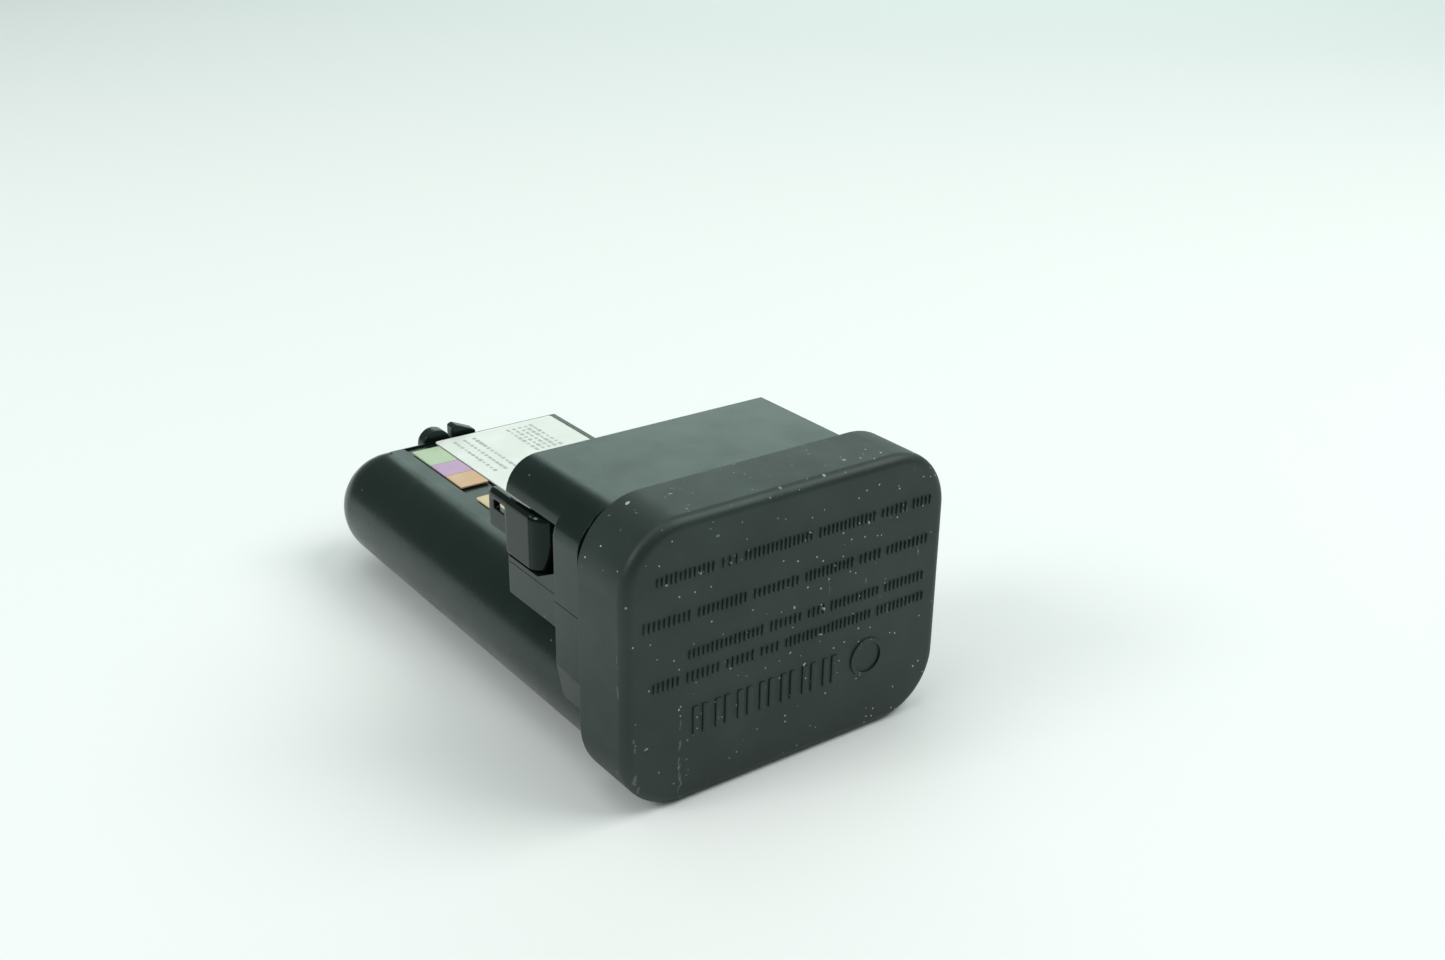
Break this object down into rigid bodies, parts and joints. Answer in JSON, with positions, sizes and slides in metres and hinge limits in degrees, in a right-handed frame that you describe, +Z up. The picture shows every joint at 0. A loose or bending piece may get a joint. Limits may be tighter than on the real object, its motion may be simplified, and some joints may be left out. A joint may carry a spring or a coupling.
{
  "type": "vehicle control module",
  "caption": "Moulded vehicle control module: push-on end cap, sensor housing, labelled slab with a plug socket, domed antenna tube and side latch.",
  "frame": {"origin": "middle of the bounding box's base, on the plane that the module rests on", "axes": "+X to the right across the end cap as seen from in front of it, +Y from the end cap to the domed tube end, +Z up"},
  "size_m": [0.065, 0.1162, 0.0503],
  "materials": {
    "cap_plastic": "moulded black plastic, fine matt texture, dusty and scuffed",
    "housing_plastic": "moulded black plastic, satin",
    "latch_plastic": "black plastic, polished by handling",
    "seal_rubber": "grey moulded rubber",
    "label_film": "white printed film",
    "label_tint": "tinted printed film",
    "tag_paper": "cream paper tag",
    "header_plastic": "black moulded insulator",
    "contact_tin": "tinned copper alloy",
    "board_laminate": "green solder resist",
    "relay_plastic": "off-white moulded case",
    "chip_resin": "black moulded resin",
    "can_metal": "drawn and plated can",
    "copper_wire": "enamelled copper wire",
    "sheet_steel": "zinc plated pressed sheet",
    "pin_steel": "ground steel",
    "pendulum_brass": "machined brass",
    "screw_steel": "zinc plated screw",
    "ferrite": "dark grey sintered ferrite",
    "clip_plastic": "grey moulded plastic"
  },
  "bodies": {
    "housing": {"lower_housing": "housing_plastic", "upper_housing": "housing_plastic", "main_label": "label_film", "colour_strip": "label_tint", "lot_tag": "tag_paper", "connector_shroud": "housing_plastic", "pin_header": "header_plastic", "circuit_board": "board_laminate", "signal_relay_left": "relay_plastic", "signal_relay_right": "relay_plastic", "microcontroller": "chip_resin", "crystal": "can_metal", "voltage_regulator": "chip_resin", "radio_receiver": "chip_resin", "surge_diode": "chip_resin", "reservoir_capacitor": "can_metal", "filter_choke": "copper_wire", "tilt_bracket": "sheet_steel", "pivot_pin": "pin_steel", "hall_sensor": "chip_resin", "ferrite_rod": "ferrite", "antenna_winding": "copper_wire", "rod_clip_1": "clip_plastic", "rod_clip_2": "clip_plastic", "antenna_lead_1": "copper_wire", "antenna_lead_2": "copper_wire", "contact_pin_1": "contact_tin", "contact_pin_2": "contact_tin", "contact_pin_3": "contact_tin", "contact_pin_4": "contact_tin", "contact_pin_5": "contact_tin", "contact_pin_6": "contact_tin", "contact_pin_7": "contact_tin", "contact_pin_8": "contact_tin", "contact_pin_9": "contact_tin", "contact_pin_10": "contact_tin", "board_screw_1": "screw_steel", "board_screw_2": "screw_steel", "board_screw_3": "screw_steel", "power_switch_1": "chip_resin", "power_switch_2": "chip_resin", "power_switch_3": "chip_resin", "power_switch_4": "chip_resin"},
    "cap": {"end_cap": "cap_plastic", "cap_seal": "seal_rubber"},
    "latch": {"side_latch": "latch_plastic"},
    "pendulum": {"tilt_pendulum": "pendulum_brass", "pendulum_magnet": "can_metal"}
  },
  "joints": [
    {"name": "cap_pull", "type": "slide", "parent": "housing", "child": "cap", "axis": [0, -1, 0], "range_m": [0, 0.025]},
    {"name": "latch_flex", "type": "hinge", "parent": "housing", "child": "latch", "pos_m": [-0.0288, -0.0275, 0.0367], "axis": [0, 0, 1], "range_deg": [-4, 6], "stiffness_Nm_per_rad": 0.05},
    {"name": "tilt_swing", "type": "hinge", "parent": "housing", "child": "pendulum", "pos_m": [-0.0045, -0.0321, 0.041], "axis": [0, 1, 0], "range_deg": [-55, 55]}
  ]
}
